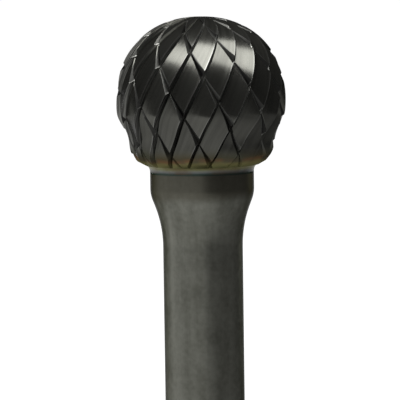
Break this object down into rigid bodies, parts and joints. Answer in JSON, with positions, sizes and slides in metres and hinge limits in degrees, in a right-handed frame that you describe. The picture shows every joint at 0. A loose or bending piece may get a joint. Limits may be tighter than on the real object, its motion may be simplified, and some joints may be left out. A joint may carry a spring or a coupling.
{
  "type": "carbide burr",
  "caption": "Ball-shaped rotary burr with diamond-patterned double-cut teeth, brazed to the collar of a plain round steel shank.",
  "frame": {"origin": "middle of the shank's plain end, where the burr stands", "axes": "+Z along the axis, from the shank's plain end to the tip of the head"},
  "size_m": [0.0126, 0.0127, 0.056],
  "materials": {
    "steel": "matt, dark, oil-toned turned steel",
    "braze": "heat-tinted silver braze",
    "carbide": "ground, glossy, near-black carbide"
  },
  "bodies": {
    "root": {"shank": "steel", "braze_joint": "braze", "cutting_head": "carbide"}
  },
  "joints": []
}
